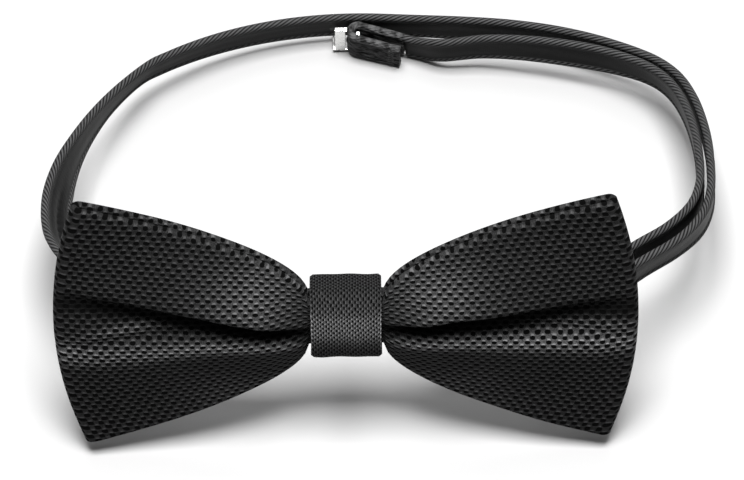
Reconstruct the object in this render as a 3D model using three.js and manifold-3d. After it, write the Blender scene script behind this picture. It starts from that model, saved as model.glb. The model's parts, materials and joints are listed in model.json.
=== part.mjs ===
// A pre-tied bow tie on an adjustable neckband, standing on its wings and on the back of its band.
//
// Everything is modelled in the tie's own frame first: millimetres, the knot's middle at the origin,
// +X to the wearer's left, -Y out of the bow's front, +Z up, the neckband level. The whole tie is
// then leaned back until the wings' lower edges and the back of the band touch the same floor.

import * as THREE from "three";
import { mergeVertices } from "three/addons/utils/BufferGeometryUtils.js";
import Module from "manifold-3d";

const wasm = await Module();
wasm.setup();

// ---- Driving dimensions -------------------------------------------------------------------

const CLEARANCE = 0.3; // between pieces that touch

// Bow: one flat cloth tube with an interlining in it, folded into a loop and pinched in the middle
const WING_REACH = 59.6; // from the knot's middle to the outer fold
const WING_HALF_HEIGHT = 29.8; // at the wing's corners
const PINCH_HALF_HEIGHT = 5.4; // of the gathered middle
const PINCH_HALF_LENGTH = 7.7;
const WING_FLARE_POWER = 0.54; // how the height grows from the pinch to the corners
const WING_BULGE = 4.9; // how far the outer fold stands past the corners
const FOLD_RADIUS = 1.3; // of the loop's outer folds, at the middle of the panel's thickness
const BOW_CLOTH = 0.35;
const BOW_INTERLINING = 0.4;
const INTERLINING_GAP = 0.35; // between the cloth and its interlining
const END_SEAM_GAP = 1.2; // between the folded tube's two ends, behind the knot
const WING_PUFF = 1.3; // how far the front panel rounds out
const CREASE_DEPTH = 1.3; // of the pleat that runs out from the knot
const WING_SWEEP = 1.3; // how far the outer folds stand forward of the knot's middle

// Knot: a cloth wrap and its interlining round the bow's pinch and the neckband
const KNOT_LENGTH = 14.6;
const KNOT_HALF_HEIGHT = 8.2;
const KNOT_FRONT = -4.9;
const KNOT_BACK = 6.2;
const KNOT_WALL = 0.9;
const KNOT_INTERLINING = 0.6;
const KNOT_CORNER = 2.2;
const PINCH_THREAD = 0.4;
const PINCH_THREAD_LENGTH = 3;

// Neckband: one strap, single on one side and doubled on the other
const STRAP_WIDTH = 8.5;
const STRAP = 1.8; // thickness
const STRAP_CHAMFER = 0.45; // of its rolled edges
const STRAP_BEHIND_KNOT = 4.1; // y of its middle there
const STITCH = 0.4;

// The back of the band is an arc, which the length slider runs on. Its top leans in.
const ARC_CENTRE = new THREE.Vector2(2, 46.5);
const ARC_RADIUS = 66.5;
const ARC_LEAN = 30;
const ARC_FROM = 86; // degrees from +X
const ARC_TO = 134;
const SLIDER_ANGLE = 90.2; // where the slider sits
const TAB_SWING = 18; // degrees that the sewn end swings in from the band
const TAB_LENGTH = 10.5;

// Metal
const PLATE = 0.9; // thickness of the slider and the eye
const HOOK_PLATE = 0.7;
const RAIL = 0.8; // height of the slider's rails
const SLIDER_HALF_LENGTH = 4.6;
const EYE_LEFT = 23.6;
const EYE_RIGHT = 32;
const EYE_TAIL = 8; // length of strap sewn down behind the eye
const HOOK_TIP = EYE_RIGHT - 2;
const HOOK_LIP = 3.6; // length of the hook's returned lip
const HOOK_BAR = HOOK_TIP + 11;
const HOOK_LOOP_END = HOOK_BAR + 5;
const TONGUE_HALF_HEIGHT = 2.4; // of the hook's tongue
const BAR = 1.3; // width of the hook's bar

const TURN_RADIUS = (PLATE + STRAP) / 2 + CLEARANCE; // of the strap's middle round a metal bar
const EYE_Y = STRAP_BEHIND_KNOT + TURN_RADIUS;
const HOOK_Y = EYE_Y + PLATE / 2 + CLEARANCE + HOOK_PLATE / 2;
const PANEL = 2 * (BOW_CLOTH + INTERLINING_GAP) + BOW_INTERLINING; // thickness of one folded panel
const BAR_HALF_HEIGHT = STRAP_WIDTH / 2 + CLEARANCE + 0.2; // inside height of every metal slot, halved

// ---- Materials ----------------------------------------------------------------------------

const cloth = (color) => new THREE.MeshStandardMaterial({ color, roughness: 0.9, metalness: 0 });
const bowCloth = cloth(0x161616);
const interlining = cloth(0xd8d4c8);
const strapCloth = cloth(0x1c1c1c);
const thread = cloth(0x0c0c0c);
const steel = new THREE.MeshStandardMaterial({ color: 0xc8c8c6, roughness: 0.3, metalness: 1 });

// ---- Solids -------------------------------------------------------------------------------

// A closed surface over a row of rings, each ring a polygon of the same number of points.
// closed joins the last ring to the first; otherwise each end gets a flat cap.
function skin(rings, closed = false) {
  const around = rings[0].length;
  const points = rings.flat();
  const faces = [];
  const steps = closed ? rings.length : rings.length - 1;
  for (let i = 0; i < steps; i++) {
    const here = i * around;
    const next = ((i + 1) % rings.length) * around;
    for (let j = 0; j < around; j++) {
      const k = (j + 1) % around;
      faces.push(here + j, next + j, next + k, here + j, next + k, here + k);
    }
  }
  if (!closed) {
    const last = (rings.length - 1) * around;
    for (let j = 1; j < around - 1; j++) {
      faces.push(0, j, j + 1);
      faces.push(last, last + j + 1, last + j);
    }
  }
  return outward(points, faces);
}

// The geometry of these triangles, turned so that they face out.
function outward(points, faces) {
  const normal = new THREE.Vector3();
  let volume = 0;
  for (let i = 0; i < faces.length; i += 3) {
    const [a, b, c] = [points[faces[i]], points[faces[i + 1]], points[faces[i + 2]]];
    volume += a.dot(normal.crossVectors(b, c));
  }
  if (volume < 0) faces.reverse();
  const geometry = new THREE.BufferGeometry().setFromPoints(points);
  geometry.setIndex(faces);
  geometry.computeVertexNormals();
  return geometry;
}

// A box from its lowest to its highest corner.
function box(low, high) {
  const size = high.map((v, i) => v - low[i]);
  const middle = high.map((v, i) => (v + low[i]) / 2);
  return new THREE.BoxGeometry(...size).translate(...middle);
}

function solid(geometry) {
  const plain = geometry.clone();
  plain.deleteAttribute("normal");
  plain.deleteAttribute("uv");
  const merged = mergeVertices(plain, 1e-4);
  return new wasm.Manifold(
    new wasm.Mesh({
      numProp: 3,
      vertProperties: merged.attributes.position.array,
      triVerts: new Uint32Array(merged.index.array),
    }),
  );
}

// The union of several geometries, less the cuts.
function joined(parts, cuts = []) {
  let body = parts.map(solid).reduce((a, b) => a.add(b));
  for (const cut of cuts) body = body.subtract(solid(cut));
  const mesh = body.getMesh();
  const geometry = new THREE.BufferGeometry();
  geometry.setAttribute("position", new THREE.BufferAttribute(mesh.vertProperties, 3));
  geometry.setIndex(new THREE.BufferAttribute(mesh.triVerts, 1));
  geometry.computeVertexNormals();
  return geometry;
}

const smooth = (from, to, x) => THREE.MathUtils.smoothstep(x, from, to);

// ---- Strap --------------------------------------------------------------------------------

// A strap along stations { x, y, z, lean } that run clockwise round the ring, seen from above. Its
// width stands up, leaned in at the top by lean degrees.
function strap(stations) {
  const [w, t, c] = [STRAP_WIDTH / 2, STRAP / 2, STRAP_CHAMFER];
  const section = [[-w, -t + c], [-w + c, -t], [w - c, -t], [w, -t + c]];
  const outline = [...section, ...section.map(([u, v]) => [-u, -v])];
  const rings = stations.map((at, i) => {
    const before = stations[Math.max(i - 1, 0)];
    const after = stations[Math.min(i + 1, stations.length - 1)];
    const along = new THREE.Vector2(after.x - before.x, after.y - before.y).normalize();
    const lean = THREE.MathUtils.degToRad(at.lean ?? 0);
    const [cos, sin] = [Math.cos(lean), Math.sin(lean)];
    // Each section point goes u up the strap's width and v out through its thickness.
    return outline.map(([u, v]) => {
      const out = v * cos - u * sin;
      return new THREE.Vector3(at.x - along.y * out, at.y + along.x * out, (at.z ?? 0) + u * cos + v * sin);
    });
  });
  return skin(rings);
}

// Stations every few millimetres on a smooth curve through [x, y, lean, z] points.
function stationsThrough(points, step = 3) {
  const places = points.map(([x, y, , z = 0]) => new THREE.Vector3(x, y, z));
  const curve = new THREE.CatmullRomCurve3(places, false, "centripetal");
  const leanAt = (t) => {
    const k = Math.min(Math.floor(t * (points.length - 1)), points.length - 2);
    const [a = 0, b = 0] = [points[k][2], points[k + 1][2]];
    return THREE.MathUtils.lerp(a, b, t * (points.length - 1) - k);
  };
  const count = Math.ceil(curve.getLength() / step);
  return Array.from({ length: count + 1 }, (_, i) => {
    const t = curve.getUtoTmapping(i / count);
    return { ...curve.getPoint(t), lean: leanAt(t) };
  });
}

// A place on the band's back arc: degrees round it, and millimetres out from the strap's middle.
function onArc(degrees, out = 0) {
  const a = THREE.MathUtils.degToRad(degrees);
  const r = ARC_RADIUS + out;
  return [ARC_CENTRE.x + r * Math.cos(a), ARC_CENTRE.y + r * Math.sin(a)];
}

// The stations of half a turn round a bar at (x, y), from the -Y side to the +Y side by way of +X
// (side 1) or -X (side -1).
function turnStations(x, y, side) {
  const steps = 10;
  return Array.from({ length: steps + 1 }, (_, i) => {
    const a = (Math.PI * i) / steps;
    return { x: x + side * TURN_RADIUS * Math.sin(a), y: y - TURN_RADIUS * Math.cos(a) };
  });
}

// From the fold on the eye, behind the knot, round the left side, the back and the right side.
function neckband() {
  const fold = turnStations(EYE_LEFT, EYE_Y, 1).reverse();
  const arc = [];
  for (let a = ARC_TO; a >= ARC_FROM; a -= 4) arc.push([...onArc(a), ARC_LEAN]);
  const left = [
    [-20, STRAP_BEHIND_KNOT],
    [-34, 5.8, -8],
    [-46, 9.8, -20],
    [-54.6, 16.5, -34],
    [-59.6, 26.4, -45],
    [-61.4, 39.4, -42],
    [-60.7, 51.5, -27],
    [-58.7, 61.8, -6],
    [-55.3, 73.1, 9],
    [-50.6, 84, 22],
  ];
  const right = [
    [16, 111.9, 29],
    [27, 110.6, 26],
    [38, 108.6, 22],
    [49.5, 104.9, 18],
    [60.5, 99.5, 20],
    [69.8, 93, 28],
    [74.2, 86.4, 20],
    [77.1, 76.2, 12],
    [78.6, 62, 8],
    [78.4, 50, 3],
    [77.4, 40, 0],
    [74.8, 31.5, -10],
    [69.8, 24, -22],
    [62, 16.4, -24],
    [55, 9.4, -12],
    ...hookLevel(-1),
  ];
  return strap([
    { x: EYE_LEFT - EYE_TAIL, y: EYE_Y + TURN_RADIUS },
    ...fold,
    ...[15, 5, -5, -15].map((x) => ({ x, y: STRAP_BEHIND_KNOT })),
    ...stationsThrough([...left, ...arc, ...right]),
  ]);
}

// The strap's turn round the hook's bar.
function hookLoop() {
  return strap([
    { x: HOOK_LOOP_END, y: HOOK_Y - TURN_RADIUS },
    ...turnStations(HOOK_BAR, HOOK_Y, -1),
    { x: HOOK_LOOP_END, y: HOOK_Y + TURN_RADIUS },
  ]);
}

// The inner layer, from the sewn end on the slider back to the hook.
function neckbandReturn() {
  return strap(
    stationsThrough([
      tabPlace(TAB_LENGTH + 4 * CLEARANCE), // its square end and the leaned tab's aren't parallel
      tabPlace(TAB_LENGTH + 3),
      [22, 104.2, 28, -1.8],
      [31, 103.6, 26, -0.6],
      [40, 101.9, 22],
      [49.7, 99.6, 18],
      [59, 96.2, 20],
      [67.4, 90.8, 28],
      [71.7, 84.8, 20],
      [74.6, 75.6, 12],
      [76.2, 62, 8],
      [76.1, 50, 3],
      [75.1, 41, 0],
      [72.4, 33.2, 0],
      [67.2, 26.2, -4],
      [60.2, 19.8, -6],
      [54, 13, -4],
      ...hookLevel(1),
    ]),
  );
}

// The end of a layer that meets the hook's loop, straight along X. side is -1 for the outer layer.
const hookLevel = (side) =>
  [4, CLEARANCE].map((x) => [HOOK_LOOP_END + x, HOOK_Y + side * TURN_RADIUS, 0]);

const degreesOf = (millimetres) => THREE.MathUtils.radToDeg(millimetres / ARC_RADIUS);

// ---- Slider and the strap's sewn end on it --------------------------------------------------

// The slider is laid out flat, along X, with Y out from the ring's middle, the running strap's
// middle at y = 0 and the strap's width upright. This leans it and sets it on the arc.
function onBand(geometry) {
  const turn = THREE.MathUtils.degToRad(SLIDER_ANGLE - 90);
  const lean = THREE.MathUtils.degToRad(ARC_LEAN);
  return geometry.rotateX(lean).rotateZ(turn).translate(...onArc(SLIDER_ANGLE), 0);
}

const TAB_OUT = -(STRAP + CLEARANCE); // the sewn end's outer leg at the bar, inside the running strap
const TAB_BAR = TAB_OUT - TURN_RADIUS;
const TAB_BAR_X = 1.2;

// Two upright frames, one either side of the straps, and the posts that join their corners.
function lengthSlider() {
  const z = BAR_HALF_HEIGHT;
  const L = SLIDER_HALF_LENGTH;
  const near = STRAP / 2 + CLEARANCE;
  const back = [near, near + PLATE];
  const front = [TAB_BAR - PLATE / 2, TAB_BAR + PLATE / 2];
  const plateEnd = TAB_BAR_X - TURN_RADIUS - STRAP / 2 - CLEARANCE; // clear of the sewn end's turn
  const upright = (x0, x1, [y0, y1]) => box([x0, y0, -z - RAIL], [x1, y1, z + RAIL]);
  const edges = [[z, z + RAIL], [-z - RAIL, -z]].flatMap(([z0, z1]) => [
    box([-L, front[0], z0], [L, front[1], z1]),
    box([-L, back[0], z0], [L, back[1], z1]),
    box([-L, front[0], z0], [-L + PLATE, back[1], z1]),
    box([L - PLATE, front[0], z0], [L, back[1], z1]),
  ]);
  const bars = [
    upright(-L, -L + PLATE, back),
    upright(L - PLATE, L, back),
    upright(-L + PLATE / 2, plateEnd, front),
    upright(TAB_BAR_X - PLATE / 2, TAB_BAR_X + PLATE / 2, front),
  ];
  return onBand(joined([...edges, ...bars]));
}

// The sewn end, a strap folded round the slider's bar, in a frame with that bar at its origin.
function neckbandTab() {
  const leg = (side) => ({ x: TAB_LENGTH, y: side * TURN_RADIUS });
  const folded = strap([leg(-1), ...turnStations(0, 0, -1), leg(1)]);
  return onBand(swungFromBar(folded));
}

function swungFromBar(geometry) {
  return geometry.rotateZ(THREE.MathUtils.degToRad(-TAB_SWING)).translate(TAB_BAR_X, TAB_BAR, 0);
}

// The station on the sewn end's outer leg at this distance from the bar.
function tabPlace(distance) {
  const point = new THREE.BufferGeometry().setFromPoints([new THREE.Vector3(distance, TURN_RADIUS, 0)]);
  const [x, y, z] = onBand(swungFromBar(point)).attributes.position.array;
  return [x, y, ARC_LEAN, z];
}

// A bar of thread across the strap's width, clear of the face of the layer that was sewn down.
function stitchBar(x, face, away) {
  const half = STRAP_WIDTH / 2 - 0.8;
  const near = face + away * CLEARANCE;
  const far = near + away * STITCH;
  return box([x - 0.7, Math.min(near, far), -half], [x + 0.7, Math.max(near, far), half]);
}

const SEWN_FACE = TURN_RADIUS + STRAP / 2; // of the folded-over layer, out from the bar
const tabStitches = () => onBand(swungFromBar(stitchBar(TAB_LENGTH - 2, -SEWN_FACE, -1)));
const eyeStitches = () => stitchBar(EYE_LEFT - EYE_TAIL + 2, EYE_Y + SEWN_FACE, 1);

// ---- Hook and eye ---------------------------------------------------------------------------

function bandEye() {
  const z = BAR_HALF_HEIGHT;
  const [x0, x1, half] = [EYE_LEFT, EYE_RIGHT, PLATE / 2];
  const frame = box([x0 - half, EYE_Y - half, -z - PLATE], [x1 + half, EYE_Y + half, z + PLATE]);
  const hole = box([x0 + half, EYE_Y - 1, -z], [x1 - half, EYE_Y + 1, z]);
  return joined([frame], [hole]);
}

// A plate with a slot that leaves a bar for the strap, and a tongue whose lip returns under the eye.
function bandHook() {
  const z = BAR_HALF_HEIGHT;
  const half = HOOK_PLATE / 2;
  const under = EYE_Y - PLATE / 2 - CLEARANCE - HOOK_PLATE; // the lip's outer face
  const shoulder = HOOK_TIP + HOOK_LIP;
  const slotStart = HOOK_BAR - TURN_RADIUS - STRAP / 2 - 2 * CLEARANCE;
  const tongue = (x1, y0, y1) => box([HOOK_TIP, y0, -TONGUE_HALF_HEIGHT], [x1, y1, TONGUE_HALF_HEIGHT]);
  const plate = box([shoulder, HOOK_Y - half, -z - PLATE], [HOOK_BAR + BAR / 2, HOOK_Y + half, z + PLATE]);
  const slot = box([slotStart, HOOK_Y - PLATE, -z], [HOOK_BAR - BAR / 2, HOOK_Y + PLATE, z]);
  const top = tongue(shoulder + RAIL, HOOK_Y - half, HOOK_Y + half);
  const bend = tongue(HOOK_TIP + HOOK_PLATE, under, HOOK_Y);
  const lip = tongue(shoulder, under, under + HOOK_PLATE);
  return joined([plate, top, bend, lip], [slot]);
}

// ---- Bow ------------------------------------------------------------------------------------

function wingHalfHeight(x) {
  const run = WING_REACH - PINCH_HALF_LENGTH;
  const share = Math.max(0, (Math.abs(x) - PINCH_HALF_LENGTH) / run);
  return PINCH_HALF_HEIGHT + (WING_HALF_HEIGHT - PINCH_HALF_HEIGHT) * share ** WING_FLARE_POWER;
}

// The loop's five stretches: back panel, outer fold, front panel, outer fold, back panel.
const FLAT = 2 * (WING_REACH - FOLD_RADIUS - PANEL / 2);
const BEND = Math.PI * FOLD_RADIUS;
const STRETCHES = [(FLAT - END_SEAM_GAP) / 2, BEND, FLAT, BEND, (FLAT - END_SEAM_GAP) / 2];
const STRETCH_STEPS = [16, 8, 36, 8, 16];

// A point of the folded panel. s is the length along the loop from its start behind the knot,
// v runs from -1 to 1 up the panel and offset is the distance out from the middle of its thickness.
function bowPoint(s, v, offset) {
  const r = FOLD_RADIUS + offset;
  const [back, , front] = STRETCHES;
  let x, y;
  if (s < back) [x, y] = [-s - END_SEAM_GAP / 2, r];
  else if (s < back + BEND) {
    const a = (s - back) / FOLD_RADIUS;
    [x, y] = [-FLAT / 2 - r * Math.sin(a), r * Math.cos(a)];
  } else if (s < back + BEND + front) [x, y] = [-FLAT / 2 + (s - back - BEND), -r];
  else if (s < back + 2 * BEND + front) {
    const a = (s - back - BEND - front) / FOLD_RADIUS;
    [x, y] = [FLAT / 2 + r * Math.sin(a), -r * Math.cos(a)];
  } else [x, y] = [FLAT / 2 - (s - back - 2 * BEND - front), r];
  const bulge = WING_BULGE * v * v * smooth(PINCH_HALF_LENGTH, WING_REACH, Math.abs(x)) * Math.sign(x);
  const relief = y < 0 ? frontRelief(x, v) : 0;
  const sweep = WING_SWEEP * (x / WING_REACH) ** 2;
  return new THREE.Vector3(x - bulge, y + relief - sweep, v * wingHalfHeight(x));
}

// The front panel rounds out above and below the pleat and is flat at the knot and at the folds.
function frontRelief(x, v) {
  const reach = Math.abs(x);
  const share = smooth(7, 20, reach) * (1 - smooth(44, WING_REACH - FOLD_RADIUS, reach));
  const puff = WING_PUFF * Math.sin(Math.PI * Math.min(1, Math.abs(v)));
  const crease = CREASE_DEPTH * Math.exp(-((v / 0.14) ** 2)) * 0.5;
  return share * (crease - puff);
}

// The ring of points round the panel's section at one place along the loop. Its height stops
// at the share reach of the panel's.
function panelRing(s, thickness, reach) {
  const rows = 8;
  const heights = Array.from({ length: rows + 1 }, (_, i) =>
    THREE.MathUtils.clamp(-1 + (2 * i) / rows, -reach, reach),
  );
  const side = (offset) => heights.map((v) => bowPoint(s, v, offset));
  return [...side(-thickness / 2), ...side(thickness / 2).reverse()];
}

// Places along the loop, closer together round the folds.
function loopPlaces() {
  const places = [0];
  STRETCHES.forEach((length, i) => {
    const start = places.at(-1);
    for (let k = 1; k <= STRETCH_STEPS[i]; k++) places.push(start + (length * k) / STRETCH_STEPS[i]);
  });
  return places;
}

// The cloth is a flat tube that is open at its two ends.
function bowClothTube() {
  const wall = 2 * BOW_CLOTH;
  const outside = loopPlaces().map((s) => panelRing(s, PANEL, 1));
  const inside = loopPlaces().map((s) => panelRing(s, PANEL - wall, 1 - wall / PINCH_HALF_HEIGHT));
  return skin([...outside, ...inside.reverse()], true);
}

function bowInterlining() {
  const reach = 1 - 2 * (BOW_CLOTH + INTERLINING_GAP) / PINCH_HALF_HEIGHT;
  return skin(loopPlaces().map((s) => panelRing(s, BOW_INTERLINING, reach)));
}

// A bar of thread between the tube's two ends.
function bowEndSeam() {
  const half = END_SEAM_GAP / 2 - CLEARANCE;
  const height = PINCH_HALF_HEIGHT - 1;
  return box([-half, FOLD_RADIUS - PANEL / 2, -height], [half, FOLD_RADIUS + PANEL / 2, height]);
}

// ---- Knot -----------------------------------------------------------------------------------

// A loop round the X axis: a rounded rectangle in Y and Z with a hole of the same kind.
function loopRoundX(length, [y0, y1], halfHeight, wall, corner, cuts = []) {
  const outer = roundedSlab(length, y0, y1, halfHeight, corner);
  const hole = roundedSlab(length + 2, y0 + wall, y1 - wall, halfHeight - wall, Math.max(corner - wall, 0.2));
  return joined([outer], [hole, ...cuts]);
}

function roundedSlab(length, y0, y1, halfHeight, corner) {
  const shape = new THREE.Shape();
  const [a, b, h, c] = [y0, y1, halfHeight, corner];
  shape.moveTo(a + c, -h);
  shape.lineTo(b - c, -h);
  shape.absarc(b - c, -h + c, c, -Math.PI / 2, 0);
  shape.lineTo(b, h - c);
  shape.absarc(b - c, h - c, c, 0, Math.PI / 2);
  shape.lineTo(a + c, h);
  shape.absarc(a + c, h - c, c, Math.PI / 2, Math.PI);
  shape.lineTo(a, -h + c);
  shape.absarc(a + c, -h + c, c, Math.PI, 1.5 * Math.PI);
  const slab = new THREE.ExtrudeGeometry(shape, { depth: length, bevelEnabled: false, curveSegments: 5 });
  // The shape's x and y become Y and Z, and its depth runs along X.
  const toYZX = new THREE.Matrix4().set(0, 0, 1, -length / 2, 1, 0, 0, 0, 0, 1, 0, 0, 0, 0, 0, 1);
  return slab.applyMatrix4(toYZX);
}

const CLOSING_Z = -4.4; // where the wrap's ends meet, low on its back

function closingSlit(halfGap) {
  const y = KNOT_BACK - KNOT_WALL;
  const half = KNOT_LENGTH / 2;
  return box([-half - 1, y - 0.4, CLOSING_Z - halfGap], [half + 1, KNOT_BACK + 1, CLOSING_Z + halfGap]);
}

function knotWrap() {
  const span = [KNOT_FRONT, KNOT_BACK];
  return loopRoundX(KNOT_LENGTH, span, KNOT_HALF_HEIGHT, KNOT_WALL, KNOT_CORNER, [closingSlit(0.5)]);
}

// The interlining lines the wrap's front, top and bottom, and leaves its back free for the band.
function knotInterlining() {
  const front = KNOT_FRONT + KNOT_WALL + CLEARANCE;
  const back = PANEL / 2 + FOLD_RADIUS + 1;
  const height = KNOT_HALF_HEIGHT - KNOT_WALL - CLEARANCE;
  const away = box([-KNOT_LENGTH, back, -20], [KNOT_LENGTH, 20, 20]);
  const span = [front, back + 3];
  return loopRoundX(KNOT_LENGTH - 3, span, height, KNOT_INTERLINING, 1.4, [away]);
}

function knotClosingThread() {
  const half = KNOT_LENGTH / 2 - 1;
  return box([-half, KNOT_BACK - KNOT_WALL, CLOSING_Z - 0.2], [half, KNOT_BACK - 0.1, CLOSING_Z + 0.2]);
}

function bowPinchThread() {
  const reach = FOLD_RADIUS + PANEL / 2 + CLEARANCE + PINCH_THREAD;
  const height = PINCH_HALF_HEIGHT + CLEARANCE + PINCH_THREAD;
  return loopRoundX(PINCH_THREAD_LENGTH, [-reach, reach], height, PINCH_THREAD, 0.5);
}

// ---- Assembly -------------------------------------------------------------------------------

function piece(name, geometry, material) {
  const mesh = new THREE.Mesh(geometry, material);
  mesh.name = name;
  return mesh;
}

const bow = new THREE.Group().add(
  piece("bow_cloth", bowClothTube(), bowCloth),
  piece("bow_interlining", bowInterlining(), interlining),
  piece("bow_end_seam", bowEndSeam(), thread),
  piece("bow_pinch_thread", bowPinchThread(), thread),
  piece("knot_wrap", knotWrap(), bowCloth),
  piece("knot_interlining", knotInterlining(), interlining),
  piece("knot_closing_thread", knotClosingThread(), thread),
);

const band = new THREE.Group().add(
  piece("neckband", neckband(), strapCloth),
  piece("neckband_return", neckbandReturn(), strapCloth),
  piece("eye_stitches", eyeStitches(), thread),
  piece("band_eye", bandEye(), steel),
);

const hook = new THREE.Group().add(
  piece("band_hook", bandHook(), steel),
  piece("neckband_hook_loop", hookLoop(), strapCloth),
);

const slider = new THREE.Group().add(
  piece("length_slider", lengthSlider(), steel),
  piece("neckband_tab", neckbandTab(), strapCloth),
  piece("tab_stitches", tabStitches(), thread),
);

// Leaned back until the wings' corners and the back of the band are level with each other.
const ARC_LEAN_SIN = Math.sin(THREE.MathUtils.degToRad(ARC_LEAN));
const ARC_LEAN_COS = Math.cos(THREE.MathUtils.degToRad(ARC_LEAN));
const BAND_FOOT = (STRAP_WIDTH * ARC_LEAN_COS) / 2; // how far the band reaches below the knot's middle
const BAND_BACK = ARC_CENTRE.y + ARC_RADIUS + (STRAP_WIDTH * ARC_LEAN_SIN) / 2;
const PANEL_BACK = FOLD_RADIUS + PANEL / 2 - WING_SWEEP;
const LEAN = Math.atan2(WING_HALF_HEIGHT - BAND_FOOT, BAND_BACK - PANEL_BACK);
const leaned = new THREE.Group().add(bow, band, hook, slider);
leaned.rotation.x = -LEAN;

// The origin is the middle of the box's lowest face.
const bounds = new THREE.Box3().setFromObject(leaned, true);
const middle = bounds.getCenter(new THREE.Vector3());
leaned.position.set(-middle.x, -middle.y, -bounds.min.z);

const tie = new THREE.Group().add(leaned);
export default tie;
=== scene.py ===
import json
import math

import bmesh
import bpy
import numpy as np
from mathutils import Matrix, Vector


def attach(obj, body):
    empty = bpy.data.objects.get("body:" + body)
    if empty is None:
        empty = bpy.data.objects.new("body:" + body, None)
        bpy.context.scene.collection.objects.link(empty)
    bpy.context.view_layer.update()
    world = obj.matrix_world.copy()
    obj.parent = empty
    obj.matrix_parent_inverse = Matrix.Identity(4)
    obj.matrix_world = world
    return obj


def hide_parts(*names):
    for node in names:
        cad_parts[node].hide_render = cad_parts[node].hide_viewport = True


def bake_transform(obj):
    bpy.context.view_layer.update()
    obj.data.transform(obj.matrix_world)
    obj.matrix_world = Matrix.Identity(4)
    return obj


# The looks of a pre-tied bow tie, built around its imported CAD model.
#
# Shapes are worked out in the tie's own frame: millimetres, the knot's middle at the origin, +X to
# the wearer's left, -Y out of the bow's front, +Z up. TIE takes that frame to the model's.

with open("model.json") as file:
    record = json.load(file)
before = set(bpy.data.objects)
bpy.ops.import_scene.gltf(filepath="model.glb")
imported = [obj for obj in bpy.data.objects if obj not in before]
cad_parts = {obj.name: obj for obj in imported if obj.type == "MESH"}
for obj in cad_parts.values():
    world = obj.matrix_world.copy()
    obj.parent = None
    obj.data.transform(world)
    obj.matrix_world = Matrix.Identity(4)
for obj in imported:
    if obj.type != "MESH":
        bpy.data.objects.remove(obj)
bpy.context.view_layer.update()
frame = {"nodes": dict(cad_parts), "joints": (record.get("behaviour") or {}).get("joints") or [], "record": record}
record = frame["record"]
joints = {joint["name"]: joint for joint in frame["joints"]}

MM = 0.001

# ---- Dimensions of part.mjs, in millimetres ------------------------------------------------------

WING_REACH = 59.6
WING_HALF_HEIGHT = 29.8
PINCH_HALF_HEIGHT = 5.4
PINCH_HALF_LENGTH = 7.7
WING_FLARE_POWER = 0.54
WING_BULGE = 4.9
WING_SWEEP = 1.3
FOLD_RADIUS = 1.3
END_SEAM_GAP = 1.2
CLOTH = 0.35
PANEL = 1.8

KNOT_LENGTH = 14.6
KNOT_HALF_HEIGHT = 8.2
KNOT_FRONT = -4.9
KNOT_BACK = 6.2
KNOT_WALL = 0.9
CLOSING_Z = -4.4
MOUNT_Z = 1.5  # the mount's height on the knot's back

STRAP_WIDTH = 8.5
STRAP = 1.8
STRAP_BEHIND_KNOT = 4.1
ARC_RADIUS = 66.5
ARC_LEAN = 30
ARC_FROM, ARC_TO = 86, 134
SLIDER_ANGLE = 90.2
TAB_SWING = 18
TAB_LENGTH = 10.5
CLEARANCE = 0.3
PLATE = 0.9
HOOK_PLATE = 0.7
SLIDER_HALF_LENGTH = 4.6
EYE_LEFT = 23.6
EYE_TAIL = 8
HOOK_BAR = 41
HOOK_LOOP_END = 46
TURN_RADIUS = (PLATE + STRAP) / 2 + CLEARANCE
EYE_Y = STRAP_BEHIND_KNOT + TURN_RADIUS
HOOK_Y = EYE_Y + PLATE / 2 + CLEARANCE + HOOK_PLATE / 2
TAB_BAR = -(STRAP + CLEARANCE) - TURN_RADIUS
TAB_BAR_X = 1.2
SEWN_FACE = TURN_RADIUS + STRAP / 2

# The slider's wires are only here. The CAD slider has a closed frame in their place.
WIRE = 0.4
WIRE_GAP = 0.06


def tie_frame():
    """The matrix from the tie's frame in millimetres to the model's in metres, from the record."""
    mount = record["mounts"][0]
    axis = Vector(mount["axis"])
    turn = Matrix.Rotation(-math.atan2(-axis.z, axis.y), 4, "X")
    origin = Vector(mount["pos_m"]) - turn @ Vector((0, KNOT_BACK, MOUNT_Z)) * MM
    return Matrix.Translation(origin) @ turn @ Matrix.Scale(MM, 4)


TIE = tie_frame()
ARC_CENTRE = TIE.inverted() @ Vector(joints["slider_travel"]["pos_m"])


# ---- Meshes --------------------------------------------------------------------------------------

def moved(points, matrix):
    """An array of points, its last axis x, y, z, taken through a matrix."""
    m = np.array(matrix)
    return points @ m[:3, :3].T + m[:3, 3]


def new_object(name, points, faces, uv):
    """A mesh object. points are in the tie's frame, and uv has a pair for each corner of each face."""
    mesh = bpy.data.meshes.new(name)
    mesh.from_pydata(moved(np.asarray(points, float), TIE).tolist(), [], faces)
    mesh.uv_layers.new(name="cloth").data.foreach_set("uv", np.asarray(uv, np.float32).ravel())
    mesh.polygons.foreach_set("use_smooth", [True] * len(mesh.polygons))
    shaped = bmesh.new()
    shaped.from_mesh(mesh)
    bmesh.ops.recalc_face_normals(shaped, faces=shaped.faces)
    shaped.to_mesh(mesh)
    shaped.free()
    thing = bpy.data.objects.new(name, mesh)
    bpy.context.scene.collection.objects.link(thing)
    return thing


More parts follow.
